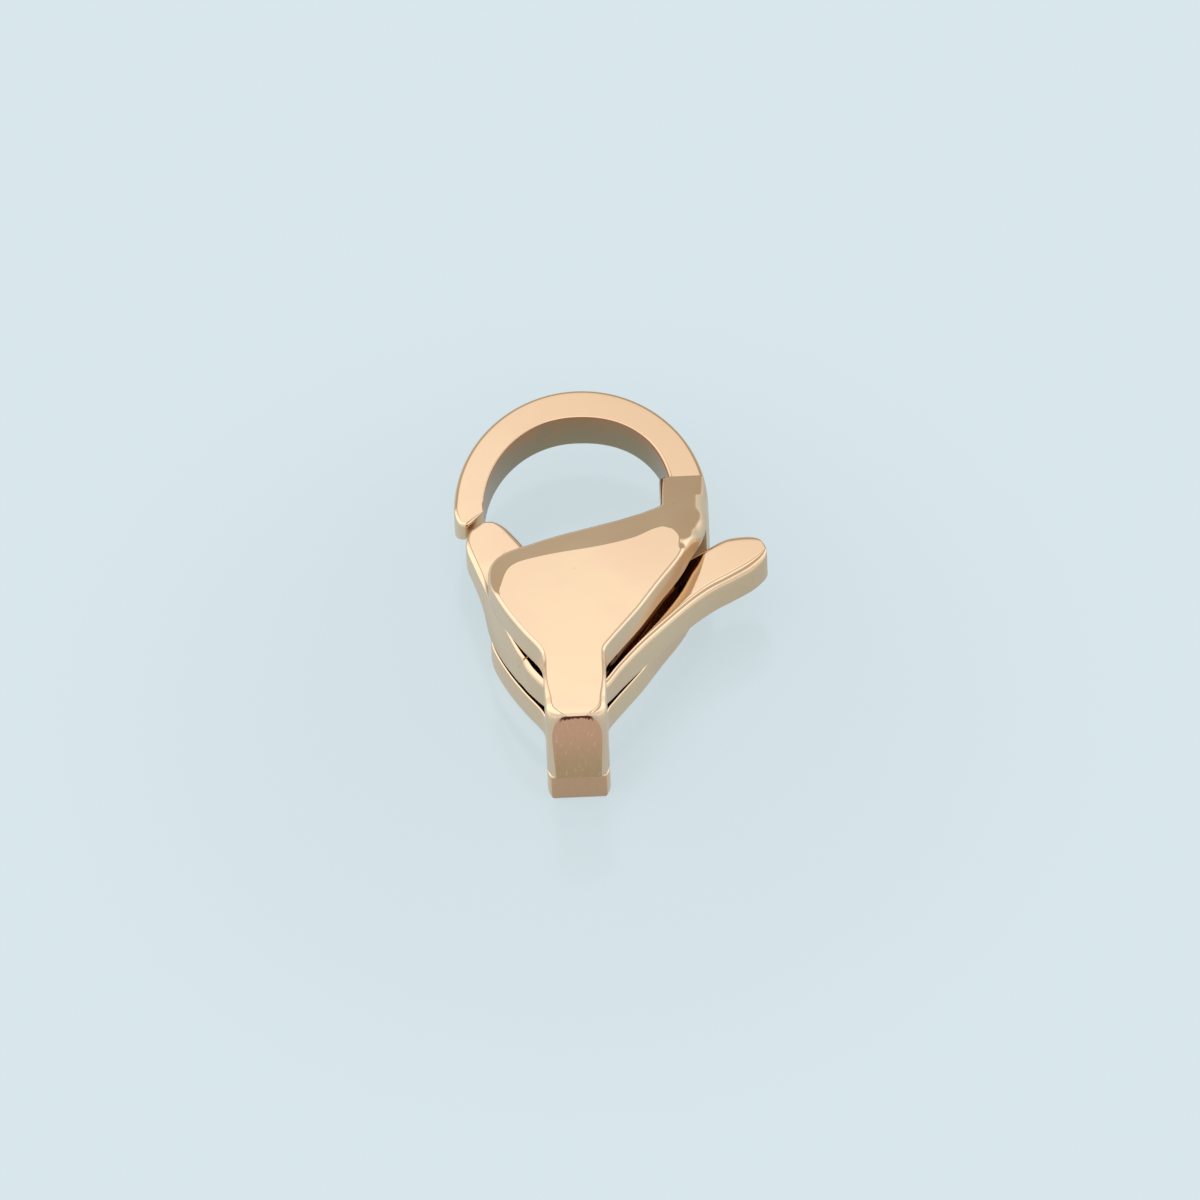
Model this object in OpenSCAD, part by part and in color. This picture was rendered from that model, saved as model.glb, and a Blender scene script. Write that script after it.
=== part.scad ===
// Lobster clasp, lying on its back plate with the hook away and the tail near.
// The lever's pivot axis is the Z axis, and the back face is the plane Z = 0.

/* [Plates] */
// Thickness of the clasp over both plates
clasp_t = 3.4; // [3:0.05:4]
// Thickness of the front plate and of the back plate
plate_t = 0.87; // [0.7:0.01:1]
// Reach of the plates to the left of the pivot
plate_left = 2.1; // [1.9:0.05:2.4]
// Distance of the plates' far edge from the pivot
plate_far = 4.65; // [4.4:0.05:4.9]
// Rounding of the edges
edge_r = 0.1; // [0.05:0.01:0.15]
// Width of the sloped facet along the far edge of the front plate
facet_w = 1.1; // [0.6:0.05:1.3]
// Drop of that facet
facet_drop = 0.45; // [0.2:0.01:0.5]

/* [Hook] */
// Width of the hook over its outer edges
hook_w = 6.5; // [6.2:0.05:7]
// Height of the hook's arch above its spring line
hook_rise = 3.95; // [3.5:0.05:4.5]
// Distance of the hook's spring line past the plates' far edge
hook_gap = 0.6; // [0.5:0.05:0.9]
// Distance of the hook's middle to the right of the pivot
hook_shift = 0.35; // [0.2:0.01:0.45]
// Width of the hook's bar at its tip
bar_tip_w = 0.75; // [0.6:0.01:0.9]
// Width of the bar at the top of the arch
bar_top_w = 0.93; // [0.7:0.01:1.1]
// Width of the bar above the root
bar_root_w = 0.92; // [0.7:0.01:1.1]
// Thickness of the bar
bar_t = 1.12; // [0.9:0.01:1.3]
// Length over which the root rises from the bar to the plates
ramp_l = 2.55; // [2.2:0.05:2.8]
// Rounding of the root's outer side
root_r = 0.5; // [0.3:0.05:0.6]
// Step from the bar's inner side to the root's wall inside the slot
root_step = 0.16; // [0.05:0.01:0.25]

/* [Tail] */
// Width of the neck
neck_w = 1.6; // [1.4:0.05:1.8]
// Distance of the tail's end from the pivot
tail_l = 2.65; // [2.5:0.05:3.2]
// Step from the plates' inner faces to the sides of the loop's hole
loop_ease = 0.025; // [0.01:0.005:0.1]
// Thickness of the wall that closes the loop
tail_wall = 0.6; // [0.5:0.05:0.75]
// Rounding of the tail's long edges at its end
tail_edge_r = 0.28; // [0.15:0.01:0.32]
// Rounding from the neck's face over the end
tail_end_r = 0.15; // [0.08:0.01:0.25]
// Gap of the closing seam
seam = 0.04; // [0.02:0.01:0.1]
// Set-back of the lower strip's end behind the bent strip
strip_back = 0.13; // [0.05:0.01:0.2]

/* [Lever] */
// Thickness of the lever
lever_t = 0.84; // [0.6:0.01:1]
// Width of the gate
gate_w = 1.2; // [1:0.05:1.35]
// Size of the lever round its pivot
hub_r = 0.92; // [0.85:0.01:1]
// Diameter of the boss that guides the lever between the plates
boss_d = 1.44; // [1.3:0.01:1.55]
// Distance of the thumb tab's end from the pivot
tab_l = 6.25; // [5.9:0.01:6.5]
// Width of the thumb tab
tab_w = 1.25; // [1.1:0.05:1.4]
// Direction of the thumb tab, up from straight right
tab_angle = 31; // [29:0.5:33]
// Rounding of the gate's and the arm's edges
lever_edge_r = 0.08; // [0.04:0.01:0.12]
// Rounding of the thumb tab's edges
tab_r = 0.2; // [0.1:0.01:0.25]
// Clearance between the gate and the hook's tip
tip_gap = 0.1; // [0.05:0.01:0.2]
// Clearance between the lever and the root of the hook
root_gap = 0.16; // [0.1:0.01:0.3]

/* [Pivot] */
// Diameter of the pivot pin
pin_d = 0.8; // [0.6:0.01:0.9]
// Depth of the pin's seat in each plate
pin_seat = 0.45; // [0.3:0.01:0.55]
// Radial clearance of the lever on the pin
pin_play = 0.03; // [0.02:0.01:0.08]
// Clearance of the lever's hub from each plate
side_play = 0.05; // [0.03:0.01:0.15]

/* [Hidden] */
gold = [0.86, 0.66, 0.50];
steel = [0.75, 0.75, 0.77];
mid_z = clasp_t / 2;
slot_h = clasp_t - 2 * plate_t;
hook_spring = plate_far + hook_gap;
hook_left = hook_shift - hook_w / 2;
hook_right = hook_shift + hook_w / 2;
// Further than any edge of the clasp
beyond = 2 * (hook_spring + hook_rise);
// Steps of a corner's rounding, and the distance of its last line from the edge as a ratio to the rounding
corner_steps = 2;
flat_ratio = 1.2;
// Steps of the tail end's rounding, between two rows of the plates and of the lever, and of the arch
end_steps = 4;
plate_steps = 3;
lever_steps = 2;
arch_steps = 32;

function mix(a, b, t) = a + (b - a) * t;
function unit(v) = v / norm(v);
function reversed(list) = [for (k = [len(list) - 1 : -1 : 0]) list[k]];
function smooth_row(a, b, c, d, t) =
    0.5 * (2 * b + (c - a) * t + (2 * a - 5 * b + 4 * c - d) * t * t + (3 * b - a - 3 * c + d) * t * t * t);
// A smooth run of rows through the rows of a table
function smooth_rows(rows, steps) =
    let (n = len(rows))
    [for (i = [0 : n - 2], k = [0 : steps - 1])
        smooth_row(rows[max(i - 1, 0)], rows[i], rows[i + 1], rows[min(i + 2, n - 1)], k / steps),
        rows[n - 1]];

// A corner from the wall to the flat: a rounding r under a facet of width w and drop d
function corner(r, w, d) =
    let (far = max(w, flat_ratio * r))
    [for (k = [0 : corner_steps])
        let (a = 90 * k / corner_steps, across = r * (1 - cos(a)))
        [across, r * (1 - sin(a)) + d * (1 - across / far)],
    [far, 0]];

// A row of a ribbon holds the point of its outer edge, the point of its inner edge, its heights [top, foot],
// its roundings [outer top, inner top, foot], the facet of its inner edge [width, drop], and [less, across].
// Less makes the whole section smaller all round, and across is 1 where the edges are inset along the row,
// or 0 where they are inset square to the edge.
function out_edge(row) = row[0];
function in_edge(row) = row[1];
function heights(row) = row[2];
function roundings(row) = row[3];
function facet(row) = row[4];
function less(row) = row[5][0];
function across(row) = row[5][1];

// The closed section of row i, from the inner wall over the top to the outer wall and back below
function section(rows, i) =
    let (
        before = rows[max(i - 1, 0)],
        after = rows[min(i + 1, len(rows) - 1)],
        row = rows[i],
        run_out = unit(out_edge(after) - out_edge(before)),
        run_in = unit(in_edge(after) - in_edge(before)),
        along = unit(in_edge(row) - out_edge(row)),
        from_out = unit(mix([run_out[1], -run_out[0]], along, across(row))),
        from_in = unit(mix([-run_in[1], run_in[0]], -along, across(row))),
        out_top = corner(roundings(row)[0], 0, 0),
        in_top = corner(roundings(row)[1], facet(row)[0], facet(row)[1]),
        foot = corner(roundings(row)[2], 0, 0),
        top_z = heights(row)[0] - less(row),
        foot_z = heights(row)[1] + less(row)
    )
    [
        for (p = in_top) [each (in_edge(row) + from_in * (p[0] + less(row))), top_z - p[1]],
        for (p = reversed(out_top)) [each (out_edge(row) + from_out * (p[0] + less(row))), top_z - p[1]],
        for (p = foot) [each (out_edge(row) + from_out * (p[0] + less(row))), foot_z + p[1]],
        for (p = reversed(foot)) [each (in_edge(row) + from_in * (p[0] + less(row))), foot_z + p[1]]
    ];

// The solid through the sections of all rows, closed flat at both ends
module ribbon(rows) {
    loops = [for (i = [0 : len(rows) - 1]) section(rows, i)];
    m = len(loops[0]);
    n = len(loops);
    polyhedron(
        points = [for (loop = loops, p = loop) p],
        faces = [
            [for (k = [m - 1 : -1 : 0]) k],
            for (i = [0 : n - 2], k = [0 : m - 1]) each [
                [i * m + k, i * m + (k + 1) % m, (i + 1) * m + (k + 1) % m],
                [i * m + k, (i + 1) * m + (k + 1) % m, (i + 1) * m + k]],
            [for (k = [0 : m - 1]) (n - 1) * m + k]
        ],
        convexity = 8);
}

// The hook's tip: shares of the bar's width, from the left end of the spring line
TIP = [
    // outer x, outer y, inner x, inner y, share of the rounding
    [0.373, -0.627, 0.973, -0.053, 1.0],
    [0.187, -0.493, 0.993, 0.027, 0.3],
    [0.080, -0.293, 1.000, 0.107, 0.0],
    [0.027, -0.067, 1.000, 0.227, 0.0],
    [0.000, 0.227, 1.000, 0.400, 0.0]
];
bar_top = mid_z + bar_t / 2;
bar_foot = mid_z - bar_t / 2;
function tip_point(x, y) = [hook_left + x * bar_tip_w, hook_spring + y * bar_tip_w];
function tip_row(t) = [
    tip_point(t[0], t[1]), tip_point(t[2], t[3]),
    [bar_top, bar_foot], [edge_r, edge_r, edge_r], [0, 0], [t[4] * edge_r, 1]
];

// The arch: half ellipses outside and inside, the inner one squarer towards the root
round_power = 2;
square_power = 2.3;
start_angle = 172;
in_half_w = hook_w / 2 - (bar_tip_w + bar_root_w) / 2;
in_rise = hook_rise - bar_top_w;
in_shift = hook_shift + (bar_tip_w - bar_root_w) / 2;
in_right = in_shift + in_half_w;
function arch_point(x, half_w, rise, power, t) = [
    x + half_w * sign(cos(t)) * pow(abs(cos(t)), 2 / power),
    hook_spring + rise * pow(abs(sin(t)), 2 / power)
];

// The ramp rises from the bar to the plates' faces, and ends at a share of the far edge's distance
ramp_end_share = 0.8;
full_rise = (clasp_t - bar_t) / 2;
function rise_at(y) = full_rise * min(1, max(0, ramp_end_share * plate_far + ramp_l - y) / ramp_l);
function arch_row(t) =
    let (
        o = arch_point(hook_shift, hook_w / 2, hook_rise, round_power, t),
        i = arch_point(in_shift, in_half_w, in_rise, cos(t) > 0 ? square_power : round_power, t),
        rise = cos(t) > 0 ? rise_at(o[1]) : 0,
        side_r = min(root_r, edge_r + rise)
    )
    [o, i, [bar_top + rise, bar_foot - rise], [side_r, edge_r, edge_r], [0, 0], [0, 1]];

// The root and the plates. The outer edge is in shares of the reach to the right and of the far edge's
// distance. The inner edge runs from the left reach, 0, to the hook's inner side, 1.
PLATES = [
    // outer x, outer y, inner x, inner y, facet width, facet drop, side's rounding
    [0.997, 0.985, 0.994, 1.070, 0.05, 0.02, 1.0],
    [0.984, 0.895, 0.973, 1.020, 0.15, 0.10, 1.0],
    [0.955, 0.815, 0.918, 0.975, 0.40, 0.35, 0.7],
    [0.918, 0.745, 0.808, 0.937, 0.75, 0.75, 0.3],
    [0.868, 0.680, 0.628, 0.897, 1.00, 1.00, 0.1],
    [0.800, 0.570, 0.408, 0.823, 0.92, 1.00, 0.0],
    [0.725, 0.475, 0.220, 0.742, 0.76, 0.90, 0.0],
    [0.640, 0.380, 0.088, 0.680, 0.56, 0.75, 0.0],
    [0.565, 0.290, 0.020, 0.600, 0.40, 0.55, 0.0],
    [0.490, 0.190, 0.000, 0.500, 0.25, 0.25, 0.0],
    [0.430, 0.120, 0.013, 0.385, 0.12, 0.05, 0.0],
    [0.360, 0.058, 0.079, 0.225, 0.05, 0.00, 0.0],
    [0.295, -0.015, 0.165, 0.070, 0.00, 0.00, 0.0]
];
function plate_row(p) =
    let (half = bar_t / 2 + rise_at(plate_far * (p[1] + p[3]) / 2))
    [
        [p[0] * hook_right, p[1] * plate_far],
        [mix(-plate_left, in_right, p[2]), p[3] * plate_far],
        [mid_z + half, mid_z - half],
        [mix(edge_r, root_r, p[6]), edge_r, edge_r],
        [facet_w * p[4], facet_drop * p[5]],
        [0, 0]
    ];
// Smoothing never lifts a row over the front face or sinks it under the back face
function within(row) = [
    out_edge(row), in_edge(row),
    [min(heights(row)[0], clasp_t), max(heights(row)[1], 0)],
    roundings(row), facet(row), [less(row), across(row)]
];
plate_rows = [for (row = smooth_rows([for (p = PLATES) plate_row(p)], plate_steps)) within(row)];

// The neck and the tail: shares of the tail's length and of the way to the tail's rounding
TAIL = [
    // y, rounding
    [-0.17, 0.00],
    [-0.28, 0.05],
    [-0.55, 0.40],
    [-0.80, 0.90]
];
function tail_row(y, r, less) =
    [[neck_w / 2, y], [-neck_w / 2, y], [clasp_t, 0], [r, r, edge_r], [0, 0], [less, 1]];
tail_rows = [
    for (t = TAIL) tail_row(t[0] * tail_l, mix(edge_r, tail_edge_r, t[1]), 0),
    for (k = [0 : end_steps]) let (a = 90 * k / end_steps)
        tail_row(-tail_l + tail_end_r * (1 - sin(a)), tail_edge_r, tail_end_r * (1 - cos(a)))
];

// Hook, root, both plates, neck and tail in one piece, before the lever's slot is cut
module casting() {
    ribbon(concat(
        [for (t = TIP) tip_row(t)],
        [for (k = [0 : arch_steps]) arch_row(start_angle * (1 - k / arch_steps))],
        plate_rows, tail_rows));
}

// The loop's hole runs from side to side, and its round end leaves the tail's wall
loop_r = slot_h / 2 - loop_ease;
loop_y = -tail_l + tail_wall + loop_r;
module loop_hole() {
    translate([-beyond, loop_y, mid_z]) rotate([0, 90, 0]) cylinder(r = loop_r, h = 2 * beyond, $fn = 48);
}

// The root's wall stands the clearance away from the thumb tab's upper edge, inside the hook's bar
arm_run = [cos(tab_angle), sin(tab_angle)];
arm_side = [-arm_run[1], arm_run[0]];
// Height of the thumb tab's upper edge at the root, as a share of the tab's width
arm_top_share = 1.17;
wall_off = arm_top_share * tab_w + root_gap;
function root_wall(x) = arm_side * wall_off + arm_run * (x + wall_off * arm_run[1]) / arm_run[0];
root_x = in_right - root_step;

// The slot's far side passes between the plates' far edge and the hook's tip: shares of the reach to
// the left and of the far edge's distance
SLOT = [
    // x, y
    [0.43, 0.95],
    [-0.50, 0.82],
    [-1.20, 0.72]
];

// The space between the plates
module lever_slot() {
    translate([0, 0, plate_t]) linear_extrude(slot_h) polygon(concat(
        [[-beyond, loop_y], [beyond, loop_y]],
        [root_wall(beyond), root_wall(root_x), [root_x, plate_far + root_step]],
        [for (p = SLOT) [p[0] * plate_left, p[1] * plate_far]],
        [[-beyond, SLOT[2][1] * plate_far]]));
}

// The bent strip closes on the lower strip with a fine seam, and the lower strip's end stands back
module closing_seam() {
    translate([-beyond, -beyond, plate_t]) cube([2 * beyond, beyond + loop_y, seam]);
    translate([-beyond, -beyond, -plate_t]) cube([2 * beyond, beyond - tail_l + strip_back, 2 * plate_t]);
}

module pin_shape() {
    translate([0, 0, plate_t - pin_seat]) cylinder(d = pin_d, h = slot_h + 2 * pin_seat, $fn = 48);
}

module clasp_body() {
    color(gold) difference() {
        casting();
        lever_slot();
        loop_hole();
        closing_seam();
        pin_shape();
    }
}

// The gate ends in a face that lies on the slant of the hook's tip, the clearance away, and covers
// the middle of it, from a share of its width to a share of its width
gate_face = [0.16, 0.72];
tip_out = tip_point(TIP[0][0], TIP[0][1]);
tip_in = tip_point(TIP[0][2], TIP[0][3]);
tip_run = unit(tip_in - tip_out);
tip_away = [tip_run[1], -tip_run[0]] * tip_gap;
gate_end_low = mix(tip_out, tip_in, gate_face[0]) + tip_away;
gate_end_high = mix(tip_out, tip_in, gate_face[1]) + tip_away;
gate_end = (gate_end_low + gate_end_high) / 2;
gate_run = unit(gate_end);
gate_side = [gate_run[1], -gate_run[0]];
lever_top = mid_z + lever_t / 2;
lever_foot = mid_z - lever_t / 2;

// The gate: shares of its length along it and of its width across it
GATE = [
    // lower along, lower across, upper along, upper across
    [0.961, -0.307, 0.990, 0.370],
    [0.928, -0.417, 0.945, 0.520],
    [0.875, -0.496, 0.880, 0.600],
    [0.789, -0.555, 0.765, 0.654],
    [0.649, -0.685, 0.593, 0.600],
    [0.478, -0.918, 0.416, 0.521],
    [0.333, -0.995, 0.295, 0.505],
    [0.197, -0.976, 0.228, 0.591]
];
// The hub: shares of its size, from the pivot
HUB = [
    // lower x, lower y, upper x, upper y
    [-1.23, -0.15, 0.43, 1.48],
    [-0.76, -0.68, 0.78, 1.63],
    [-0.11, -0.98, 1.14, 1.90],
    [0.52, -0.78, 1.58, 2.28]
];
// The arm and the thumb tab: shares of its length along it and of its width across it, then of the tab's
// rounding, of the end's rounding, and whether the edges are inset across
ARM = [
    // lower along, lower across, upper along, upper across, rounding, end, across
    [0.090, -0.616, 0.455, 0.918, 0.0, 0.0, 0.0],
    [0.175, -0.488, 0.539, 0.993, 0.0, 0.0, 0.0],
    [0.305, -0.262, 0.623, 1.068, 0.0, 0.0, 0.0],
    [0.457, -0.030, 0.705, 1.130, 0.1, 0.0, 0.0],
    [0.603, 0.150, 0.775, 1.164, 0.3, 0.0, 0.0],
    [0.703, 0.212, 0.865, 1.200, 0.6, 0.0, 0.0],
    [0.794, 0.209, 0.926, 1.195, 0.9, 0.0, 0.1],
    [0.880, 0.176, 0.965, 1.130, 1.0, 0.0, 0.5],
    [0.945, 0.210, 0.987, 1.020, 1.0, 0.0, 1.0],
    [0.978, 0.300, 0.997, 0.890, 1.0, 0.3, 1.0],
    [0.993, 0.410, 1.000, 0.770, 1.0, 0.6, 1.0],
    [0.999, 0.500, 1.001, 0.680, 1.0, 0.9, 1.0]
];
function lever_row(low, high, r, drop, across) =
    [high, low, [lever_top - drop, lever_foot + drop], [r - drop, r - drop, r - drop], [0, 0], [0, across]];
function gate_point(along, across) = gate_run * along * norm(gate_end) + gate_side * across * gate_w;
function arm_point(along, across) = arm_run * along * tab_l + arm_side * across * tab_w;
lever_rows = concat(
    [lever_row(gate_end_low, gate_end_high, lever_edge_r, 0, 1)],
    [for (g = GATE) lever_row(gate_point(g[0], g[1]), gate_point(g[2], g[3]), lever_edge_r, 0, 0)],
    [for (h = HUB) lever_row([h[0], h[1]] * hub_r, [h[2], h[3]] * hub_r, lever_edge_r, 0, 0)],
    [for (a = ARM) let (r = mix(lever_edge_r, tab_r, a[4]))
        lever_row(arm_point(a[0], a[1]), arm_point(a[2], a[3]), r, a[5] * r, a[6])]);

// The hub's boss keeps the lever in the middle of the slot
module lever_boss() {
    translate([0, 0, plate_t + side_play]) cylinder(d = boss_d, h = slot_h - 2 * side_play, $fn = 48);
}

module lever() {
    color(gold) difference() {
        union() {
            ribbon(smooth_rows(lever_rows, lever_steps));
            lever_boss();
        }
        cylinder(d = pin_d + 2 * pin_play, h = clasp_t, $fn = 48);
    }
}

module pivot_pin() {
    color(steel) pin_shape();
}

clasp_body();
lever();
pivot_pin();
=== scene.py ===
"""A lobster clasp in rose gold colour: one casting, its lever and its pin, on a pale blue surface."""
import math
from collections import namedtuple

import bmesh
import bpy
from mathutils import Matrix, Vector


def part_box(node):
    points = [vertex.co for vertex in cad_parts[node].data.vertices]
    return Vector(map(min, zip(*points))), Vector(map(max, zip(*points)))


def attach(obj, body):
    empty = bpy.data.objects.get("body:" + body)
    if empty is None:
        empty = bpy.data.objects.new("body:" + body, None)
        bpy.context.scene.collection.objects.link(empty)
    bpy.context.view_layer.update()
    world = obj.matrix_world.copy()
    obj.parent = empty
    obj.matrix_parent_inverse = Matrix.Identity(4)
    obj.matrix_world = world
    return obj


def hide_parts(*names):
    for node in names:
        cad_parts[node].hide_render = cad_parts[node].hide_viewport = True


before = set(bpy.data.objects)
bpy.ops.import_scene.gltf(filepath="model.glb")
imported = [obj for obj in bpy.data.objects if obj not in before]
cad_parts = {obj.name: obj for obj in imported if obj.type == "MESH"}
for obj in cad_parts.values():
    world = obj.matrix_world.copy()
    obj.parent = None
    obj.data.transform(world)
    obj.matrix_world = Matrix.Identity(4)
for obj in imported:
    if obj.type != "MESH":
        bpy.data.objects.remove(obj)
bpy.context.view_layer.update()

bl_info = {
    "name": "Lobster clasp",
    "version": (1, 0, 0),
    "blender": (4, 5, 0),
    "location": "View3D > Sidebar > Clasp",
    "description": "Models a cast lobster clasp with its lever, its pin and a studio stage",
    "category": "Add Mesh",
}

BODY_LOW, BODY_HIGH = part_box("clasp_body")
LEVER_LOW, LEVER_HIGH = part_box("lever")
PIN_LOW, PIN_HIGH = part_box("pivot_pin")

# Shapes are worked out in millimetres, where Blender's tools keep their precision, and scaled once made
MM = 0.001


def mm(length):
    """A length of the scene in millimetres."""
    return length / MM


def length(name, description, default, low=0.0):
    """A property that holds a length."""
    return bpy.props.FloatProperty(
        name=name, description=description, default=default, min=low, unit="LENGTH", precision=6)


def colour(name, description, default):
    """A property that holds a colour."""
    return bpy.props.FloatVectorProperty(
        name=name, description=description, default=default, min=0.0, soft_max=1.0, subtype="COLOR", size=3)


def number(name, description, default):
    """A property that holds a plain number."""
    return bpy.props.FloatProperty(name=name, description=description, default=default)


class ClaspPlates(bpy.types.PropertyGroup):
    """Sizes of the plates, the neck and the tail."""

    thickness: length("Thickness", "Thickness of the clasp over both plates", BODY_HIGH.z - BODY_LOW.z)
    plate_t: length("Plate", "Thickness of the front plate and of the back plate", 0.87 * MM)
    left: length("Reach left", "Reach of the plates to the left of the pivot", 2.1 * MM)
    far: length("Far edge", "Distance of the plates' far edge from the pivot", 4.65 * MM)
    edge_r: length("Edge rounding", "Rounding of the edges", 0.1 * MM)
    lip_r: length("Lip rounding", "Rounding of the plates' edges on the slot", 0.045 * MM)
    lip_wedge: length("Lip wedge", "How much thinner the front plate is by the neck", 0.22 * MM)
    slope: number("Slope", "Slope of the facet along the far edge and of the root's ramp, in degrees", 24.0)
    crown: length("Crown", "Fall of the front face one reach away from its middle", 0.014 * MM)
    neck_w: length("Neck", "Width of the neck", 1.6 * MM)
    tail_l: length("Tail", "Distance of the tail's end from the pivot", -BODY_LOW.y)
    tail_wall: length("Tail wall", "Thickness of the wall that closes the loop", 0.6 * MM)
    tail_edge_r: length("Tail edges", "Rounding of the tail's long edges at its end", 0.56 * MM)
    tail_tall: number("Tail edges' height", "Height of the tail's long roundings, to their width", 2.4)
    tail_end_r: length("Tail end", "Rounding from the neck's face over the end", 0.12 * MM)
    tail_side_r: length("Tail corners", "Rounding of the tail's upright corners", 0.45 * MM)
    tail_lean: number("Tail lean", "Lean of the ground end away from upright, in degrees", 1.5)
    loop_ease: length("Loop step", "Step from the plates' inner faces to the loop's hole", 0.025 * MM)
    seam: length("Seam", "Gap of the closing seam", 0.04 * MM)
    strip_r: length("Strip's corners", "Rounding of the lower strip's upright corners", 0.2 * MM)
    strip_back: length("Set-back", "Set-back of the lower strip's end behind the bent strip", 0.13 * MM)


class ClaspHook(bpy.types.PropertyGroup):
    """Sizes of the hook and its root."""

    left: length("Left", "Place of the hook's left side", BODY_LOW.x, low=-1.0)
    right: length("Right", "Place of the hook's right side", BODY_HIGH.x)
    top: length("Top", "Place of the hook's top", BODY_HIGH.y)
    gap: length("Spring line", "Distance of the hook's spring line past the plates' far edge", 0.6 * MM)
    tip_w: length("Tip width", "Width of the bar at its tip", 0.75 * MM)
    top_w: length("Top width", "Width of the bar at the top of the arch", 0.93 * MM)
    root_w: length("Root width", "Width of the bar above the root", 0.92 * MM)
    bar_t: length("Bar", "Thickness of the bar", 1.12 * MM)
    ramp_top: length("Ramp", "Distance from the pivot at which the root's ramp meets the plates", 3.56 * MM)
    root_r: length("Root rounding", "Rounding of the root's outer side", 0.5 * MM)
    root_in: length("Root's inner side", "Place of the root's inner side, where the ramp starts", 2.37 * MM)
    root_step: length("Root step", "Step from the bar's inner side to the root's wall in the slot", 0.16 * MM)
    root_in_r: length("Root's inner rounding", "Rounding of the root's inner edge at the ramp", 0.16 * MM)
    arch_edge_r: length("Arch edge", "Rounding of the arch's inner edge at its top", 0.035 * MM)
    rim_r: length("Rim rounding", "Rounding of the arch's outer edge at its top", 0.12 * MM)


class ClaspLever(bpy.types.PropertyGroup):
    """Sizes of the lever."""

    top: length("Top", "Height of the lever's front face", 2.12 * MM)
    foot: length("Foot", "Height of the lever's back face", 1.28 * MM)
    swell: length("Swell", "Growth of the lever's front face beside the gate", 0.37 * MM)
    gate_w: length("Gate", "Width of the gate", 1.2 * MM)
    hub_r: length("Hub", "Size of the lever round its pivot", 0.92 * MM)
    boss_d: length("Boss", "Diameter of the boss that guides the lever", 1.44 * MM)
    tab_l: length("Tab length", "Distance of the thumb tab's end from the pivot", 6.25 * MM)
    tab_w: length("Tab width", "Width of the thumb tab", 1.25 * MM)
    tab_angle: number("Tab angle", "Direction of the thumb tab, in degrees up from straight right", 31.0)
    edge_r: length("Edge rounding", "Rounding of the gate's end and of the arm's far edge", 0.08 * MM)
    gate_r: length("Gate rounding", "Rounding of the gate's edges", 0.15 * MM)
    lean: length("Lean", "How far the lever's side leans in to meet the front plate's edge", 0.15 * MM)
    near_r: length("Near rounding", "Rounding of the hub's and the arm's near edge", 0.2 * MM)
    tab_r: length("Tab rounding", "Rounding of the thumb tab's edges", 0.2 * MM)
    tip_gap: length("Tip gap", "Clearance between the gate and the hook's tip", 0.1 * MM)
    root_gap: length("Root gap", "Clearance between the lever and the root of the hook", 0.16 * MM)
    bore_d: length("Bore", "Diameter of the bore on the pin", PIN_HIGH.x - PIN_LOW.x + 0.06 * MM)


class ClaspColours(bpy.types.PropertyGroup):
    """Colours of the clasp and of the surface it lies on."""

    gold: colour("Gold", "Colour of the polished plating", (0.735, 0.55, 0.365))
    gold_pink: colour("Pink gold", "Colour of the plating where it is pinker", (0.725, 0.52, 0.355))
    # Painted shade: the plating's colour towards the hook's top right, where it mirrors dimmer light
    gold_shade: colour("Deep gold", "Colour of the plating towards the hook's top right", (0.645, 0.45, 0.29))
    # Painted shade: the two colours that darken the inside of the hook's bend, in place of the shaded floor
    # and gold that it mirrors
    bend_shade_top: colour("Bend's top", "Colour of the inside of the bend at its top", (0.41, 0.225, 0.12))
    bend_shade_low: colour("Bend's foot", "Colour of the inside of the bend at its foot", (0.31, 0.235, 0.145))
    ground: colour("Ground end", "Colour of the ground tail end", (0.66, 0.38, 0.245))
    ground_low: colour("Ground end's foot", "Colour of the ground tail end low down", (0.51, 0.335, 0.19))
    ground_light: colour("Ground streaks", "Colour of the ground end's lighter streaks", (0.76, 0.49, 0.34))
    # Painted shade: a dark ragged line along the ground end's top, standing in for the shade of a small step
    # below the end's rounding
    ragged_shade: colour("Burr", "Colour of the dark ragged line along the ground end's top", (0.13, 0.035, 0.02))
    # Painted shade: the colour that darkens the front plate's inner face, where the slot lies in shade
    slot: colour("Slot", "Colour of the front plate's unpolished inner face", (0.20, 0.11, 0.06))
    speck: colour("Specks", "Colour of the small specks", (0.50, 0.33, 0.22))
    steel: colour("Steel", "Colour of the pin", (0.52, 0.52, 0.53))
    surface: colour("Surface", "Colour of the surface under the clasp", (0.10, 0.12, 0.127))
    surface_glow: colour("Surface's glow", "Light that the backlit surface gives off", (0.52, 0.605, 0.639))


# One section of a swept solid: the points of its outer and inner edge, its heights, its roundings, how much
# smaller it is all round, whether its edges are inset across instead of square to the edge, the height of its
# upper roundings as a ratio to their width, and how far the top of its inner edge leans in
Row = namedtuple("Row", "out_x out_y in_x in_y top foot out_r in_r foot_r less across tall lean")

# The hook's tip: shares of the bar's width, from the left end of the spring line, and how far its foot rises,
# as a share of the bar's thickness
TIP = (
    # outer x, outer y, inner x, inner y, foot's rise
    (0.373, -0.627, 0.973, -0.053, 0.45),
    (0.187, -0.493, 0.993, 0.027, 0.38),
    (0.080, -0.293, 1.000, 0.107, 0.26),
    (0.027, -0.067, 1.000, 0.227, 0.14),
    (0.000, 0.227, 1.000, 0.400, 0.04),
)
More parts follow.
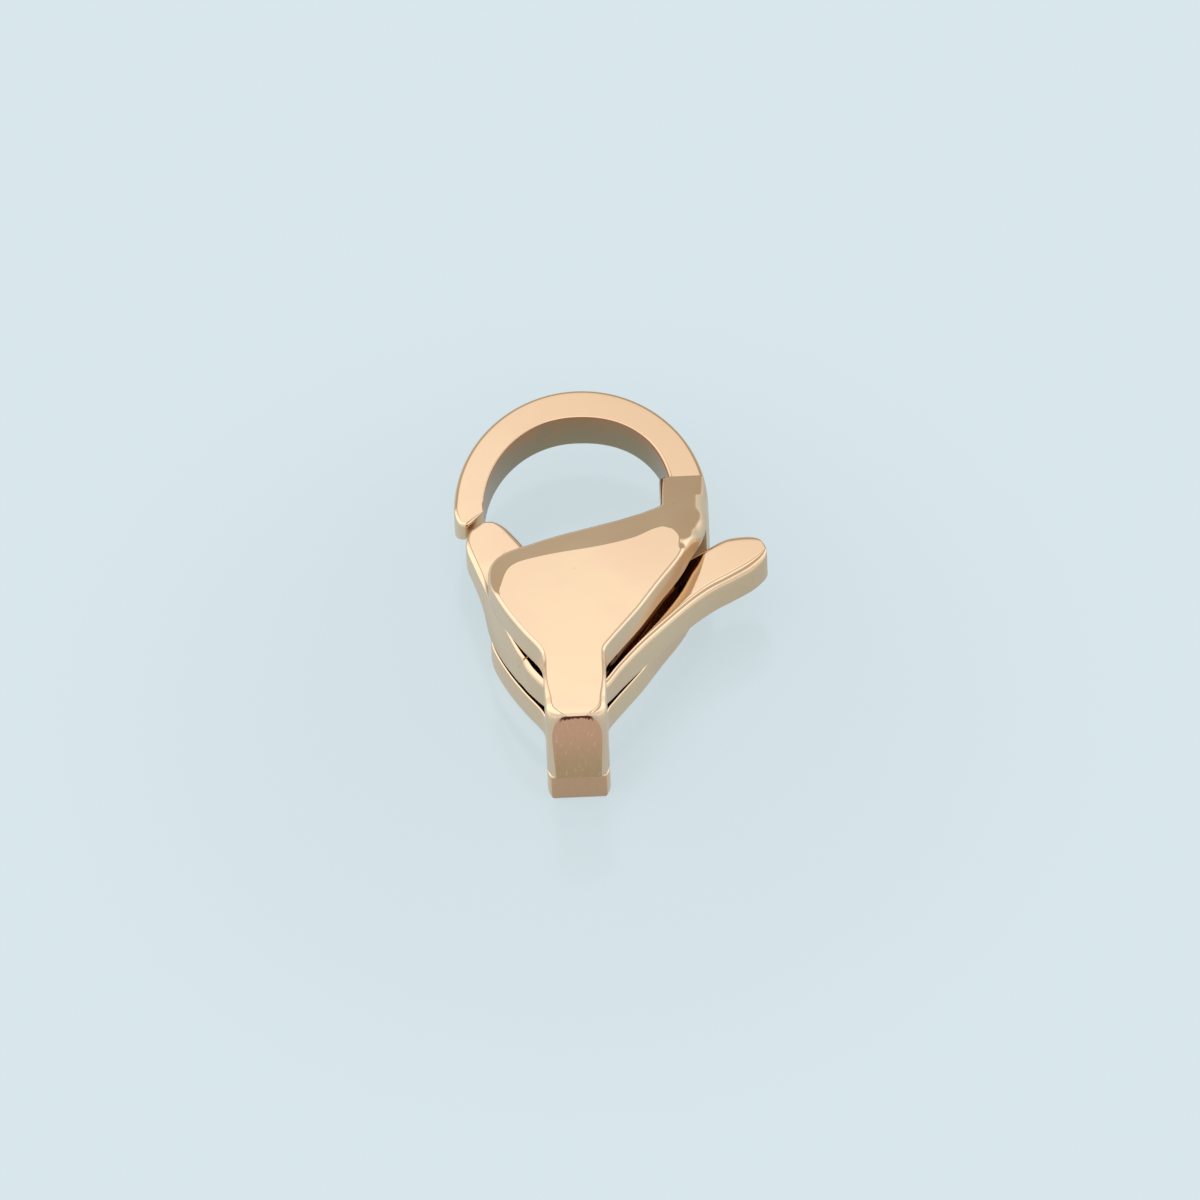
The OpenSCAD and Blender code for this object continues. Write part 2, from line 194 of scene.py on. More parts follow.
# The root and the plates: outer edge in shares of the hook's right side and of the far edge's distance, inner
# edge from the left reach, 0, to the root's inner side, 1
PLATES = (
    # outer x, outer y, inner x, inner y, side's rounding
    (0.997, 0.985, 1.000, 1.065, 1.0),
    (0.984, 0.895, 0.995, 1.018, 1.0),
    (0.955, 0.815, 0.955, 0.984, 0.8),
    (0.918, 0.745, 0.864, 0.945, 0.5),
    (0.868, 0.680, 0.671, 0.897, 0.2),
    (0.800, 0.570, 0.436, 0.823, 0.0),
    (0.725, 0.475, 0.235, 0.742, 0.0),
    (0.640, 0.380, 0.094, 0.680, 0.0),
    (0.565, 0.290, 0.021, 0.600, 0.0),
    (0.489, 0.199, 0.000, 0.500, 0.0),
    (0.425, 0.131, 0.014, 0.385, 0.0),
    (0.353, 0.057, 0.084, 0.225, 0.0),
    (0.289, -0.009, 0.176, 0.070, 0.0),
    (0.231, -0.078, 0.271, -0.066, 0.0),
)
# The far side of the flat front face, from left to right: shares of the reach to the left and of the far
# edge's distance
FLAT = (
    # x, y
    (-1.250, 0.150),
    (-0.960, 0.275),
    (-0.871, 0.370),
    (-0.725, 0.527),
    (-0.333, 0.591),
    (0.352, 0.643),
    (0.767, 0.692),
    (1.048, 0.755),
    (1.225, 0.762),
    (1.345, 0.690),
    (1.360, 0.610),
    (1.700, 0.520),
)
# The neck and the tail: shares of the tail's length and of the way to the tail's rounding
TAIL = (
    # y, rounding
    (-0.25, 0.00),
    (-0.38, 0.00),
    (-0.53, 0.02),
    (-0.74, 0.20),
)
# The slot's far side: shares of the reach to the left and of the far edge's distance
SLOT = (
    # x, y
    (0.43, 0.95),
    (-0.50, 0.82),
    (-1.20, 0.72),
)
# The gate: shares of its length along it and of its width across it, then of the swell, of the lean, and of
# the near and the far rounding
GATE = (
    # lower along, lower across, upper along, upper across, swell, lean, near, far
    (0.961, -0.307, 0.990, 0.370, 0.0, 0.0, 0.5, 0.5),
    (0.928, -0.417, 0.945, 0.520, 0.0, 0.0, 0.8, 0.8),
    (0.875, -0.496, 0.880, 0.600, 0.0, 0.0, 1.0, 1.0),
    (0.789, -0.555, 0.765, 0.654, 0.0, 0.0, 1.0, 1.0),
    (0.649, -0.685, 0.593, 0.600, 0.0, 0.3, 0.8, 0.7),
    (0.478, -0.918, 0.416, 0.521, 0.5, 0.9, 0.2, 0.5),
    (0.333, -0.995, 0.295, 0.505, 1.0, 0.85, 0.3, 0.5),
    (0.197, -0.976, 0.228, 0.591, 0.85, 0.35, 0.6, 0.5),
)
# The hub: shares of its size, from the pivot, then of the near rounding, of the swell and of the lean
HUB = (
    # lower x, lower y, upper x, upper y, near rounding, swell, lean
    (-1.48, 0.24, 0.24, 1.52, 0.5, 0.68, 0.2),
    (-1.43, 0.16, 0.27, 1.51, 0.8, 0.50, 0.1),
    (-1.23, -0.15, 0.43, 1.48, 0.9, 0.28, 0.0),
    (-0.76, -0.68, 0.78, 1.63, 0.9, 0.10, 0.0),
    (-0.11, -0.98, 1.14, 1.90, 0.9, -0.10, 0.0),
    (0.52, -0.86, 1.58, 2.28, 0.9, -0.20, 0.0),
)
# The arm and the thumb tab: shares of its length along it and of its width across it, then of the near and
# the far rounding, whether the edges are inset across, and of the swell
ARM = (
    # lower along, lower across, upper along, upper across, near, far, across, swell
    (0.078, -0.680, 0.455, 0.918, 0.90, 0.0, 0.0, -0.20),
    (0.170, -0.515, 0.539, 0.993, 0.85, 0.0, 0.0, 0.05),
    (0.300, -0.305, 0.623, 1.048, 0.85, 0.0, 0.0, 0.22),
    (0.450, -0.105, 0.705, 1.090, 0.85, 0.1, 0.0, 0.28),
    (0.595, 0.070, 0.775, 1.110, 0.90, 0.3, 0.0, 0.30),
    (0.700, 0.140, 0.862, 1.140, 1.00, 0.6, 0.0, 0.30),
    (0.790, 0.143, 0.900, 1.125, 1.05, 0.9, 0.1, 0.30),
    (0.878, 0.155, 0.940, 1.045, 1.10, 1.0, 0.5, 0.30),
    (0.930, 0.210, 0.970, 0.955, 1.00, 1.0, 0.9, 0.30),
    (0.960, 0.265, 0.988, 0.865, 0.90, 0.9, 1.0, 0.30),
    (0.980, 0.335, 0.996, 0.770, 0.70, 0.6, 1.0, 0.30),
    (0.992, 0.420, 0.998, 0.660, 0.30, 0.0, 1.0, 0.30),
)

# Steps of the swept solids
ROUND_STEPS = 6
FOOT_STEPS = 4
SLOPE_STEPS = 7
FACE_STEPS = 14
ARCH_STEPS = 180
ROW_STEPS = 8
END_STEPS = 8
# Places along the face of a section that has no crease, as shares
PLAIN_FACE = (0.25, 0.5, 0.75)
# Distance of a corner's last line from the edge, as a ratio to its rounding, and the most that the line may
# lie past the rounding, in millimetres, so that two corners leave room for the face between them
FLAT_RATIO = 1.3
FLAT_MOST = 0.05
# Least width of a section's face on each side of a crease, in millimetres, and the most that it may be as a
# share of the face
CREASE_W = 0.03
CREASE_SHARE = 0.1
# The arch: powers of its half ellipses, the inner one squarer towards the root, the angle it starts at, and
# the angles between which its sections turn from one shared angle to one shared distance
ROUND_POWER = 2.0
SQUARE_POWER = 2.3
START_ANGLE = math.radians(172)
TURN_FROM = math.radians(62)
TURN_TO = math.radians(30)
# The arch's inner edge is rounded fully below this distance from the pivot, over this run, in millimetres
EDGE_FROM = 7.9
EDGE_RUN = 0.7
# The root's inner rounding fades out at this distance from the pivot, in millimetres
ROOT_EDGE_END = 4.75
# The ramp runs square to the pivot's line past these places, over these runs, in millimetres
RAMP_SQUARE = Vector((1.9, 3.6))
RAMP_SQUARE_RUN = Vector((0.4, 0.9))
# The front face's highest point, in millimetres from the pivot
FACE_MIDDLE = Vector((0.6, 1.2))
# Sides of a drum, and steps of a bevelled edge
DRUM_SIDES = 96
BEVEL_STEPS = 3
# Distance within which points are one, in millimetres, the angle past which an edge is sharp, and the value
# below which two directions are parallel
MERGE = 0.0008
SHARP = math.radians(35)
PARALLEL = 1e-9
# How far the tail is made past its ground end, in millimetres, and the shares of its corners' roundings and
# of its top's rounding that the ground end leaves
END_OVER = 0.03
SIDE_SHARE = 0.93
TOP_SHARE = 0.80
# Height of the thumb tab's upper edge at the root, as a share of the tab's width
ARM_TOP_SHARE = 1.17
# How far the strip's rounded corners reach past its sides, in millimetres
STRIP_OVER = 0.01
# The thin and the thick end of the front plate's wedge, in millimetres from the pivot
LIP_WEDGE_Y = (1.15, -0.42)
# How far to the side of the pivot the slot's edges are rounded, as a ratio to the pin's reach
LIP_FROM = 1.5
# The part of the hook's tip that the gate's face covers, from a share of its width to a share of its width
GATE_FACE = (0.16, 0.72)
# Share of the edge rounding that the gate's end has, and of the tab's rounding that the tab's end has
END_EDGE = 0.6
TAB_END = 0.2


def mix(a, b, t):
    """The value a share t of the way from a to b."""
    return a + (b - a) * t


def smooth_step(t):
    """A share that starts and ends without a kink."""
    t = min(max(t, 0.0), 1.0)
    return t * t * (3.0 - 2.0 * t)


def smooth_value(a, b, c, d, t):
    """A point of the smooth curve through b and c, with a before them and d after them."""
    return 0.5 * (
        2 * b + (c - a) * t + (2 * a - 5 * b + 4 * c - d) * t ** 2 + (3 * b - a - 3 * c + d) * t ** 3)


def windows(items):
    """Each two neighbours in turn, with the item before them and the item after them."""
    last = len(items) - 1
    for i in range(last):
        yield items[max(i - 1, 0)], items[i], items[i + 1], items[min(i + 2, last)]


def smooth_rows(rows, steps):
    """A smooth run of rows through the given rows."""
    run = []
    for four in windows(rows):
        for k in range(steps):
            run.append(Row(*(smooth_value(*values, k / steps) for values in zip(*four))))
    return run + [rows[-1]]


def corner(r, steps):
    """An edge's line from the wall over its rounding to the flat, as pairs (in, down)."""
    line = []
    for k in range(steps + 1):
        angle = math.pi / 2 * k / steps
        line.append((r * (1 - math.cos(angle)), r * (1 - math.sin(angle))))
    return line + [(min(FLAT_RATIO * r, r + FLAT_MOST), 0.0)]


def face_shares(first, second, width):
    """Places along a section's face, as shares, with close ones on both sides of each crease."""
    least = min(CREASE_W / width, CREASE_SHARE)
    first = min(max(first, 2 * least), 1 - 5 * least)
    second = min(max(second, first + 3 * least), 1 - 2 * least)
    shares = [(first - least) * k / SLOPE_STEPS for k in range(1, SLOPE_STEPS + 1)] + [first]
    shares += [mix(first + least, second - least, k / FACE_STEPS) for k in range(FACE_STEPS + 1)] + [second]
    shares += [mix(second + least, 1, k / SLOPE_STEPS) for k in range(SLOPE_STEPS)]
    return shares


def section(rows, i, front=None, plain=False):
    """The closed section of row i, from the inner wall over the top to the outer wall and back below."""
    row, before, after = rows[i], rows[max(i - 1, 0)], rows[min(i + 1, len(rows) - 1)]
    outer, inner = Vector((row.out_x, row.out_y)), Vector((row.in_x, row.in_y))
    run_out = Vector((after.out_x - before.out_x, after.out_y - before.out_y)).normalized()
    run_in = Vector((after.in_x - before.in_x, after.in_y - before.in_y)).normalized()
    along = (inner - outer).normalized()
    from_out = Vector((run_out.y, -run_out.x)).lerp(along, row.across).normalized()
    from_in = Vector((-run_in.y, run_in.x)).lerp(-along, row.across).normalized()
    top, foot = row.top - row.less, row.foot + row.less

    def upper(place, down):
        return (*place, top - down - (front.fall(place) if front else 0.0))

    def lower(place, up):
        return (*place, foot + up + (front.ramp(place) if front else 0.0))

    def line(edge, inward, r, steps, level, tall=1.0, lean=0.0):
        return [
            level(edge + inward * (inside + row.less + lean), tall * down)
            for inside, down in corner(r, steps)
        ]

    in_top = line(inner, from_in, row.in_r, ROUND_STEPS, upper, row.tall, row.lean)
    out_top = line(outer, from_out, row.out_r, ROUND_STEPS, upper, row.tall)[::-1]
    out_foot = line(outer, from_out, row.foot_r, FOOT_STEPS, lower)
    in_foot = line(inner, from_in, row.foot_r, FOOT_STEPS, lower)[::-1]
    start, end = Vector(in_top[-1][:2]), Vector(out_top[0][:2])
    creases = front.creases(start, end) if front else (0.5, 0.5)
    shares = PLAIN_FACE if plain else face_shares(*creases, (end - start).length)
    face = [upper(start.lerp(end, share), 0.0) for share in shares]
    return in_top + face + out_top + out_foot + in_foot


class Front:
    """The clasp's front: a flat face, and a slope that falls away from its far side down to the bar."""

    def __init__(self, shape):
        left = mm(shape.plates.left)
        points = [Vector((x * left, y * shape.far)) for x, y in FLAT]
        self.edge = [points[0]]
        for four in windows(points):
            for k in range(1, ROW_STEPS + 1):
                self.edge.append(Vector(smooth_value(*values, k / ROW_STEPS) for values in zip(*four)))
        self.low_y = min(point.y for point in points)
        self.tilt = math.tan(math.radians(shape.plates.slope))
        self.full = shape.full_rise
        self.ramp_top = mm(shape.hook.ramp_top)
        self.crown = mm(shape.plates.crown) / left ** 2

    def outside(self, place):
        """How far a place lies beyond the flat face's far side, or 0 where it lies on the flat."""
        if place.y < self.low_y:
            return 0.0
        best, side = math.inf, 0.0
        for a, b in zip(self.edge, self.edge[1:]):
            run, way = b - a, place - a
            share = min(max(way.dot(run) / run.length_squared, 0.0), 1.0)
            off = (way - run * share).length
            if off < best:
                best, side = off, run.cross(way)
        return best if side > 0 else 0.0

    def ramp(self, place):
        """How far the ramp has fallen at this place, as far as the bar's face."""
        return min(self.full, max(0.0, (place.y - self.ramp_top) * self.tilt))

    def fall(self, place):
        """How far the front lies below its highest point at this place."""
        drop = (place.y - self.ramp_top) * self.tilt
        if drop > self.full:
            return self.full
        square = smooth_step((place.x - RAMP_SQUARE.x) / RAMP_SQUARE_RUN.x)
        square *= smooth_step((place.y - RAMP_SQUARE.y) / RAMP_SQUARE_RUN.y)
        if square < 1:
            drop = mix(self.outside(place) * self.tilt, drop, square)
        slope = min(self.full, max(0.0, drop))
        flat = 1 - smooth_step(slope / self.full)
        return slope + flat * self.crown * (place - FACE_MIDDLE).length_squared

    def creases(self, start, end):
        """Where a section's face crosses the flat face's far side, as two shares of the way along it."""
        way = end - start
        inside = self.outside(start) == 0, self.outside(end) == 0
        crossed = []
        for a, b in zip(self.edge, self.edge[1:]):
            run = b - a
            cross = way.cross(run)
            if abs(cross) < PARALLEL:
                continue
            share, along = (a - start).cross(run) / cross, (a - start).cross(way) / cross
            if 0 <= share <= 1 and 0 <= along <= 1:
                crossed.append(share)
        if inside[0] and inside[1]:
            return 0.0, 1.0
        if not crossed:
            nearest = min(self.edge, key=lambda point: self.off_stretch(point, start, way))
            share = self.share_along(nearest, start, way)
            return share, share
        if inside[0]:
            return 0.0, crossed[0]
        if inside[1]:
            return crossed[-1], 1.0
        return min(crossed), max(crossed)

    @staticmethod
    def share_along(point, start, way):
        """The share of a straight stretch at which it passes nearest to a point."""
        return min(max((point - start).dot(way) / way.length_squared, 0.0), 1.0)

    def off_stretch(self, point, start, way):
        """Distance of a point from a straight stretch."""
        return (start + way * self.share_along(point, start, way) - point).length


def swept(sections):
    """A closed solid: the first section is extruded along all the others, and both ends are filled."""
    solid = bmesh.new()
    ring = [solid.verts.new(point) for point in sections[0]]
    edges = [solid.edges.new(pair) for pair in zip(ring, ring[1:] + ring[:1])]
    ends = list(edges)
    for points in sections[1:]:
        grown = bmesh.ops.extrude_edge_only(solid, edges=edges)["geom"]
        new = {item for item in grown if isinstance(item, bmesh.types.BMVert)}
        ring = [next(e.other_vert(v) for e in v.link_edges if e.other_vert(v) in new) for v in ring]
        for vert, point in zip(ring, points):
            vert.co = point
        edges = [solid.edges.get(pair) for pair in zip(ring, ring[1:] + ring[:1])]
    ends += edges
    bmesh.ops.edgeloop_fill(solid, edges=ends)
    bmesh.ops.recalc_face_normals(solid, faces=solid.faces)
    return solid


def grind(solid, place, outwards):
    """Cuts a solid flat at a place and closes it there."""
    geom = [*solid.verts, *solid.edges, *solid.faces]
    bmesh.ops.bisect_plane(solid, geom=geom, plane_co=place, plane_no=outwards, clear_outer=True)
    bmesh.ops.edgeloop_fill(solid, edges=[e for e in solid.edges if e.is_boundary])
    bmesh.ops.recalc_face_normals(solid, faces=solid.faces)


def prism(points, low, high):
    """A solid with this outline between two heights."""
    solid = bmesh.new()
    face = solid.faces.new([solid.verts.new((x, y, low)) for x, y in points])
    grown = bmesh.ops.extrude_face_region(solid, geom=[face])["geom"]
    bmesh.ops.translate(
        solid, vec=(0, 0, high - low), verts=[v for v in grown if isinstance(v, bmesh.types.BMVert)])
    bmesh.ops.recalc_face_normals(solid, faces=solid.faces)
    return solid


def drum(diameter, place, low, high, turn=None):
    """A cylinder that stands at a place between two heights, turned about the place where asked."""
    solid = bmesh.new()
    bmesh.ops.create_cone(
        solid, cap_ends=True, segments=DRUM_SIDES, radius1=diameter / 2, radius2=diameter / 2,
        depth=high - low)
    bmesh.ops.translate(solid, vec=(0, 0, (low + high) / 2), verts=solid.verts)
    if turn:
        bmesh.ops.rotate(solid, cent=(0, 0, 0), matrix=turn, verts=solid.verts)
    bmesh.ops.translate(solid, vec=place, verts=solid.verts)
    return solid


def to_object(name, solid):
    """An object of this solid, still in millimetres."""
    mesh = bpy.data.meshes.new(name)
    solid.to_mesh(mesh)
    solid.free()
    made = bpy.data.objects.new(name, mesh)
    bpy.context.scene.collection.objects.link(made)
    return made


def combine(made, tools):
    """Cuts or joins the object with each (operation, solid) in turn."""
    others = []
    for operation, solid in tools:
        other = to_object("tool", solid)
        step = made.modifiers.new(operation, "BOOLEAN")
        step.operation = operation
        step.solver = "EXACT"
        step.object = other
        others.append(other)
    result = bpy.data.meshes.new_from_object(made.evaluated_get(bpy.context.evaluated_depsgraph_get()))
    made.modifiers.clear()
    old = made.data
    made.data = result
    bpy.data.meshes.remove(old)
    for other in others:
        bpy.data.meshes.remove(other.data)


def round_edges(made, groups):
    """Rounds each group of sharp outer edges: pairs of a test of the edge's middle and a rounding."""
    solid = bmesh.new()
    solid.from_mesh(made.data)
    bmesh.ops.remove_doubles(solid, verts=solid.verts, dist=MERGE)
    bmesh.ops.dissolve_degenerate(solid, edges=solid.edges, dist=MERGE)
    for chosen, rounding in groups:
        edges = [
            e for e in solid.edges
            if len(e.link_faces) == 2 and e.calc_face_angle_signed() > SHARP
            and chosen((e.verts[0].co + e.verts[1].co) / 2)
        ]
        bmesh.ops.bevel(
            solid, geom=edges, offset=rounding, offset_type="OFFSET", affect="EDGES", segments=BEVEL_STEPS,
            profile=0.5, material=-1, clamp_overlap=False, loop_slide=True)
    bmesh.ops.recalc_face_normals(solid, faces=solid.faces)
    solid.to_mesh(made.data)
    solid.free()


def finish_piece(made, material, body, node):
    """Scales a piece to the scene, gives it its shading and material, and ties it to the frame."""
    made.data.transform(Matrix.Scale(MM, 4))
    for face in made.data.polygons:
        face.use_smooth = True
    made.data.set_sharp_from_angle(angle=SHARP)
    normals = made.modifiers.new("Even normals", "WEIGHTED_NORMAL")
    normals.keep_sharp = True
    normals.weight = 100
    made.data.materials.clear()
    made.data.materials.append(material)
    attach(made, body)
    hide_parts(node)


class Shape:
    """The sizes of the clasp in millimetres, worked out once from the properties."""

    def __init__(self, scene):
        plates, hook, lever = scene.clasp_plates, scene.clasp_hook, scene.clasp_lever
        self.plates, self.hook, self.lever = plates, hook, lever
        self.far = mm(plates.far)
        self.thick = mm(plates.thickness)
        self.plate_t = mm(plates.plate_t)
        self.mid_z = self.thick / 2
        self.slot_h = self.thick - 2 * self.plate_t
        self.spring = self.far + mm(hook.gap)
        self.hook_left, self.hook_right = mm(hook.left), mm(hook.right)
        self.hook_shift = (self.hook_left + self.hook_right) / 2
        self.hook_w = self.hook_right - self.hook_left
        self.rise = mm(hook.top) - self.spring
        self.in_half_w = self.hook_w / 2 - mm(hook.tip_w + hook.root_w) / 2
        self.in_rise = self.rise - mm(hook.top_w)
        self.in_shift = self.hook_shift + mm(hook.tip_w - hook.root_w) / 2
        self.in_right = self.in_shift + self.in_half_w
        self.bar_top = self.mid_z + mm(hook.bar_t) / 2
        self.bar_foot = self.mid_z - mm(hook.bar_t) / 2
        self.full_rise = (self.thick - mm(hook.bar_t)) / 2
        self.root_in = mm(hook.root_in)
        self.ramp_end = mm(hook.ramp_top) + self.full_rise / math.tan(math.radians(plates.slope))
        self.edge_r = mm(plates.edge_r)
        self.tail_l = mm(plates.tail_l)
        self.loop_r = self.slot_h / 2 - mm(plates.loop_ease)
        self.loop_y = -self.tail_l + mm(plates.tail_wall) + self.loop_r
        self.beyond = 2 * mm(hook.top)
        angle = math.radians(lever.tab_angle)
        self.arm_run = Vector((math.cos(angle), math.sin(angle)))
        self.arm_side = Vector((-self.arm_run.y, self.arm_run.x))

    def tip_point(self, x, y):
        """A point of the hook's tip from shares of the bar's width."""
        return Vector((self.hook_left + x * mm(self.hook.tip_w), self.spring + y * mm(self.hook.tip_w)))

    def rise_at(self, y):
        """How far the ramp stands above the bar's face at this distance."""
        fall = (y - mm(self.hook.ramp_top)) * math.tan(math.radians(self.plates.slope))
        return self.full_rise - min(self.full_rise, max(0.0, fall))

    def root_edge_r(self, y):
        """The rounding of the root's inner edge, which grows towards the ramp's start."""
        share = (y - ROOT_EDGE_END) / (self.ramp_end - ROOT_EDGE_END)
        return mix(self.edge_r, mm(self.hook.root_in_r), max(0.0, share))

    def arch_point(self, shift, half_w, rise, power, angle):
        """A point of one of the arch's half ellipses."""
        c, s = math.cos(angle), math.sin(angle)
        return Vector((
            shift + math.copysign(half_w * abs(c) ** (2 / power), c),
            self.spring + rise * abs(s) ** (2 / power)))

    def arch_inner(self, angle, outer):
        """The inner point of the arch's section at this angle, level with the outer point near the root."""
        right = math.cos(angle) > 0
        power = SQUARE_POWER if right else ROUND_POWER
        point = self.arch_point(self.in_shift, self.in_half_w, self.in_rise, power, angle)
        share = smooth_step((TURN_FROM - angle) / (TURN_FROM - TURN_TO))
        if share == 0:
            return point
        height = mix(point.y, outer.y, share) - self.spring
        sine = min(1.0, max(0.0, height / self.in_rise)) ** (power / 2)
        return self.arch_point(self.in_shift, self.in_half_w, self.in_rise, power, math.asin(sine))


def casting_row(outer, inner, top, foot, out_r, edge_r, in_r=None, across=0.0, tall=1.0):
    """A row of the casting with its usual values."""
    in_r = edge_r if in_r is None else in_r
    return Row(outer[0], outer[1], inner[0], inner[1], top, foot, out_r, in_r, edge_r, 0.0, across, tall, 0.0)


def rounded_start(rows, r):
    """The rows with the first end rounded: each is made smaller by the rounding's depth at its distance."""
    start = Vector((rows[0].out_x + rows[0].in_x, rows[0].out_y + rows[0].in_y)) / 2
    result = []
    for row in rows:
        middle = Vector((row.out_x + row.in_x, row.out_y + row.in_y)) / 2
        away = min((middle - start).length, r)
        result.append(row._replace(less=row.less + r - math.sqrt(r * r - (r - away) ** 2)))
    return result


def arch_angles(shape):
    """The angles of the arch's sections, with two close ones at the ramp's start."""
    ramp_angle = math.asin((shape.ramp_end - shape.spring) / shape.rise)
    step = CREASE_W / shape.rise
    near = [ramp_angle + step, ramp_angle, ramp_angle - step]
    even = [START_ANGLE * (1 - k / ARCH_STEPS) for k in range(ARCH_STEPS + 1)]
    return sorted([a for a in even if abs(a - ramp_angle) > 1.5 * step] + near, reverse=True)


def hook_rows(shape):
    """The rows of the hook, from its tip over the arch to the spring line at the root."""
    hook, edge_r = shape.hook, shape.edge_r
    arch = []
    for angle in arch_angles(shape):
        right = math.cos(angle) > 0
        outer = shape.arch_point(shape.hook_shift, shape.hook_w / 2, shape.rise, ROUND_POWER, angle)
        inner = shape.arch_inner(angle, outer)
        rise = shape.rise_at(outer.y) if right else 0.0
        in_r = mm(hook.arch_edge_r)
        if right:
            in_r = mix(in_r, edge_r, smooth_step((EDGE_FROM - inner.y) / EDGE_RUN))
            if inner.y <= shape.ramp_end:
                in_r = shape.root_edge_r(inner.y)
                inner.x = shape.root_in
        top, foot = (shape.thick, 0.0) if right else (shape.bar_top, shape.bar_foot)
        rim_r = mix(edge_r, mm(hook.rim_r), math.sin(angle))
        turned = smooth_step((TURN_FROM - angle) / (TURN_FROM - TURN_TO))
        arch.append(casting_row(
            outer, inner, top, foot, min(mm(hook.root_r), rim_r + rise), edge_r, in_r=in_r,
            across=turned if right else 1 - smooth_step((START_ANGLE - angle) / START_ANGLE)))
    tip = []
    for out_x, out_y, in_x, in_y, rise in TIP:
        foot = mix(shape.bar_foot, shape.bar_top, rise)
        tip.append(casting_row(
            shape.tip_point(out_x, out_y), shape.tip_point(in_x, in_y), shape.bar_top, foot, edge_r, edge_r,
            in_r=mm(hook.arch_edge_r), across=1.0))
    tip = rounded_start(smooth_rows(tip + arch[:1], ROW_STEPS), edge_r)
    return tip[:-1] + arch


def plate_rows(shape, start):
    """The rows of the root, the plates, the neck and the tail, which run on from the hook's last row."""
    plates, edge_r = shape.plates, shape.edge_r
    rows = [start]
    for out_x, out_y, in_x, in_y, side in PLATES:
        in_y *= shape.far
        rows.append(casting_row(
            (out_x * shape.hook_right, out_y * shape.far),
            (mix(-mm(plates.left), shape.root_in, in_x), in_y), shape.thick, 0.0,
            mix(edge_r, mm(shape.hook.root_r), side), edge_r,
            in_r=shape.root_edge_r(in_y)))
    for y, rounding in TAIL:
        rows.append(tail_row(shape, y * shape.tail_l, rounding))
    rows = smooth_rows(rows, ROW_STEPS)
    side_r, end_r = mm(plates.tail_side_r), mm(plates.tail_end_r)
    lean = math.tan(math.radians(plates.tail_lean)) * shape.thick
    from_y, to_y = TAIL[-1][0] * shape.tail_l, -shape.tail_l - END_OVER
    for k in range(1, END_STEPS + 1):
        y = mix(from_y, to_y, 1 - (1 - k / END_STEPS) ** 2)
        share = mix(TAIL[-1][1], 1.0, ((y - from_y) / (to_y - from_y)) ** 3)
        rows.append(tail_row(
            shape, y, share,
            side=arc_drop(side_r, SIDE_SHARE * side_r - shape.tail_l - y),
            drop=arc_drop(end_r, TOP_SHARE * end_r + lean - shape.tail_l - y)))
    return rows


def arc_drop(r, past):
    """How far a rounding has dropped once this far past its start."""
    past = min(max(past, 0.0), r)
    return r - math.sqrt(r * r - past * past)


def tail_row(shape, y, share, side=0.0, drop=0.0):
    """A row of the neck and the tail: its share of the end's rounding, and how much narrower and lower."""
    plates = shape.plates
    half = mm(plates.neck_w) / 2 - side
    r = mix(shape.edge_r, mm(plates.tail_edge_r), share)
    return casting_row((half, y), (-half, y), shape.thick - drop, 0.0, r, shape.edge_r, in_r=r, across=1.0,
                       tall=mix(1.0, plates.tail_tall, share))


def slot_outline(shape):
    """The outline of the space between the plates."""
    root_x = shape.in_right - mm(shape.hook.root_step)
    wall_off = ARM_TOP_SHARE * mm(shape.lever.tab_w) + mm(shape.lever.root_gap)

    def root_wall(x):
        return shape.arm_side * wall_off + shape.arm_run * (x + wall_off * shape.arm_run.y) / shape.arm_run.x

    beyond = shape.beyond
    return [
        (-beyond, shape.loop_y), (beyond, shape.loop_y), root_wall(beyond), root_wall(root_x),
        (root_x, shape.spring),
        *((x * mm(shape.plates.left), y * shape.far) for x, y in SLOT),
        (-beyond, SLOT[-1][1] * shape.far),
    ]


def slab(shape, low_y, high_y, low_z, high_z):
    """A box across the whole clasp between these distances and heights."""
    beyond = shape.beyond
    return prism([(-beyond, low_y), (beyond, low_y), (beyond, high_y), (-beyond, high_y)], low_z, high_z)


def strip_outline(shape):
    """The outline of the space before the lower strip's end, which leaves that end's corners round."""
    plates, beyond, r = shape.plates, shape.beyond, mm(shape.plates.strip_r)
    half, end = mm(plates.neck_w) / 2 + STRIP_OVER, mm(plates.strip_back) - shape.tail_l
    angles = [math.pi / 2 * k / END_STEPS for k in range(END_STEPS + 1)]
    arc = [(half - r + r * math.sin(a), end + r - r * math.cos(a)) for a in angles]
    left = [(-x, y) for x, y in arc]
    return [(-beyond, -beyond), (beyond, -beyond), (beyond, end + r), *arc[::-1], *left, (-beyond, end + r)]


def lip_wedge(shape):
    """The wedge by which the front plate's inner face rises towards the neck."""
    low = shape.thick - shape.plate_t
    solid = slab(shape, LIP_WEDGE_Y[1], LIP_WEDGE_Y[0], low - MERGE, low + mm(shape.plates.lip_wedge))
    for vert in solid.verts:
        if vert.co.y > LIP_WEDGE_Y[1] and vert.co.z > low:
            vert.co.z = low
    return solid


